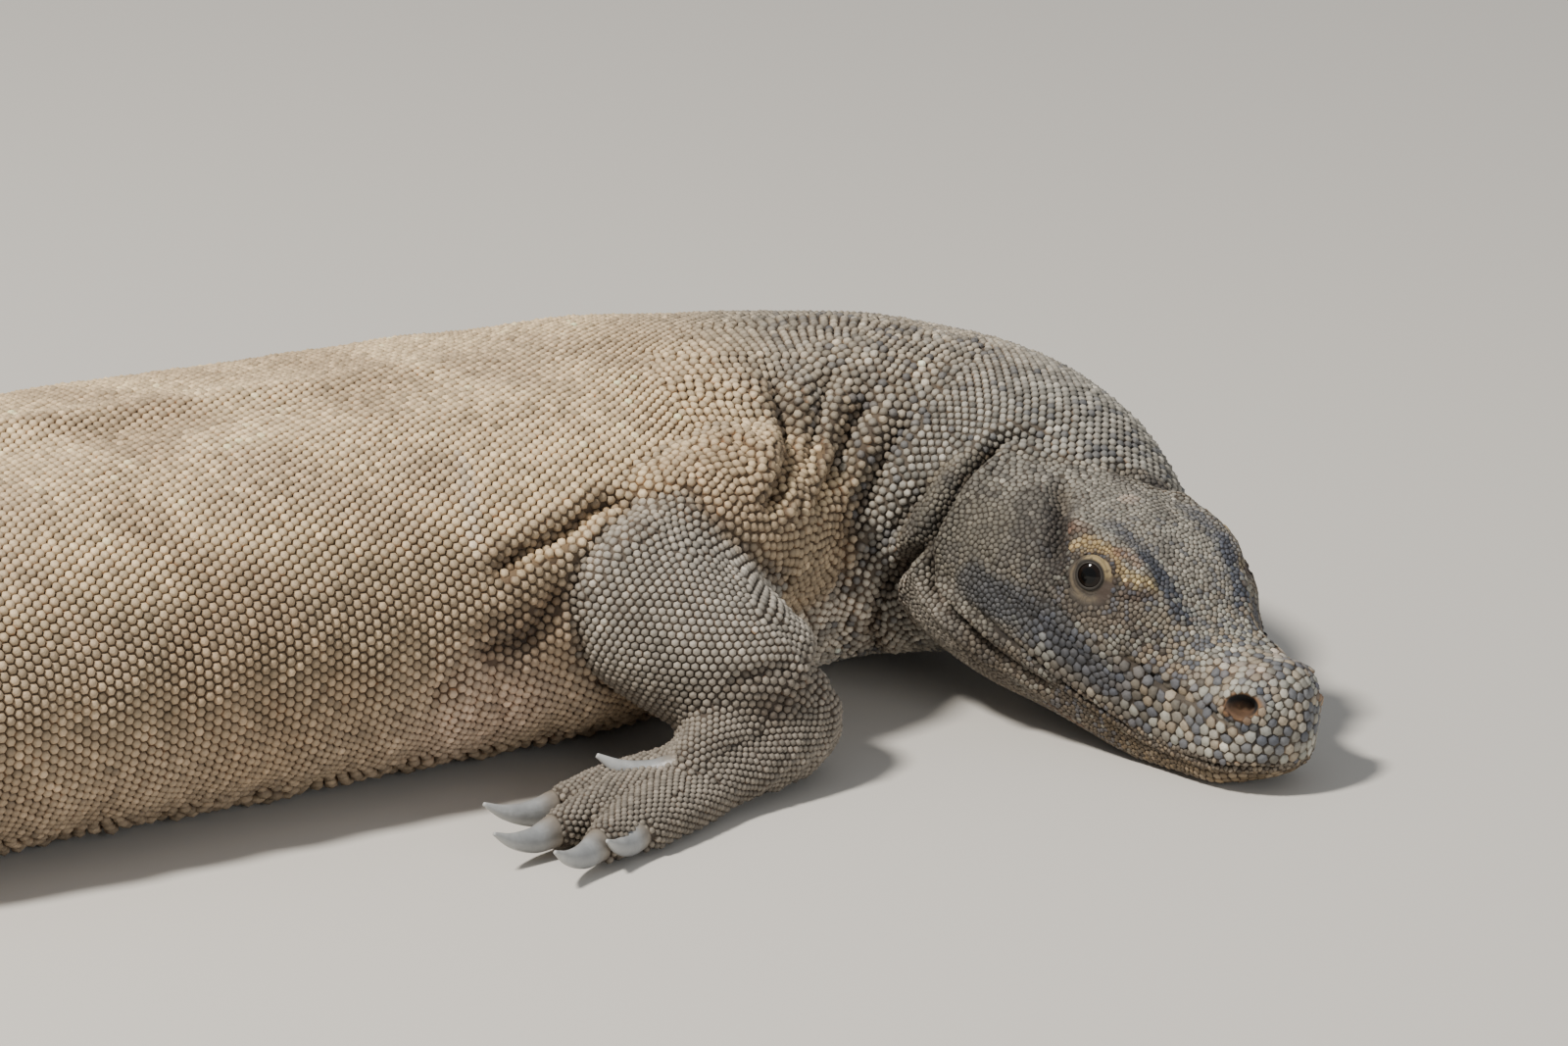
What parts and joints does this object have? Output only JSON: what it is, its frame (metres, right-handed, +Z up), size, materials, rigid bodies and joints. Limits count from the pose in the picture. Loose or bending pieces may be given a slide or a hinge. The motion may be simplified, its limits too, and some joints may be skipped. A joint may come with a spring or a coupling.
{
  "type": "komodo dragon",
  "caption": "Life-size resting komodo dragon: belly and chin on the ground, neck bent to its right, one hand folded back at the wrist, long tapering tail.",
  "frame": {"origin": "on the ground, under the middle of the model's box", "axes": "+X along the body from the tail towards the head, +Y to the animal's left, +Z up from the ground"},
  "size_m": [2.0572, 0.8486, 0.1476],
  "materials": {
    "hide": "dry matte bead scales, dusty tan over darker grooves",
    "head_hide": "dry satin scales, grey-brown mixed with slate blue and pale beige",
    "claw": "smooth grey horn",
    "eye": "wet dark brown eyeball"
  },
  "bodies": {
    "root": {"head": "head_hide", "left_eye": "eye", "left_front_claw_1": "claw", "left_front_claw_2": "claw", "left_front_claw_3": "claw", "left_front_claw_4": "claw", "left_front_claw_5": "claw", "left_front_hand": "hide", "left_front_lower": "hide", "left_front_upper": "hide", "left_hind_claw_1": "claw", "left_hind_claw_2": "claw", "left_hind_claw_3": "claw", "left_hind_claw_4": "claw", "left_hind_claw_5": "claw", "left_hind_foot": "hide", "left_hind_lower": "hide", "left_hind_upper": "hide", "neck": "hide", "right_eye": "eye", "right_front_claw_1": "claw", "right_front_claw_2": "claw", "right_front_claw_3": "claw", "right_front_claw_4": "claw", "right_front_claw_5": "claw", "right_front_hand": "hide", "right_front_lower": "hide", "right_front_upper": "hide", "right_hind_claw_1": "claw", "right_hind_claw_2": "claw", "right_hind_claw_3": "claw", "right_hind_claw_4": "claw", "right_hind_claw_5": "claw", "right_hind_foot": "hide", "right_hind_lower": "hide", "right_hind_upper": "hide", "tail_1": "hide", "tail_2": "hide", "tail_3": "hide", "tail_4": "hide", "trunk_front": "hide", "trunk_rear": "hide"}
  },
  "joints": []
}
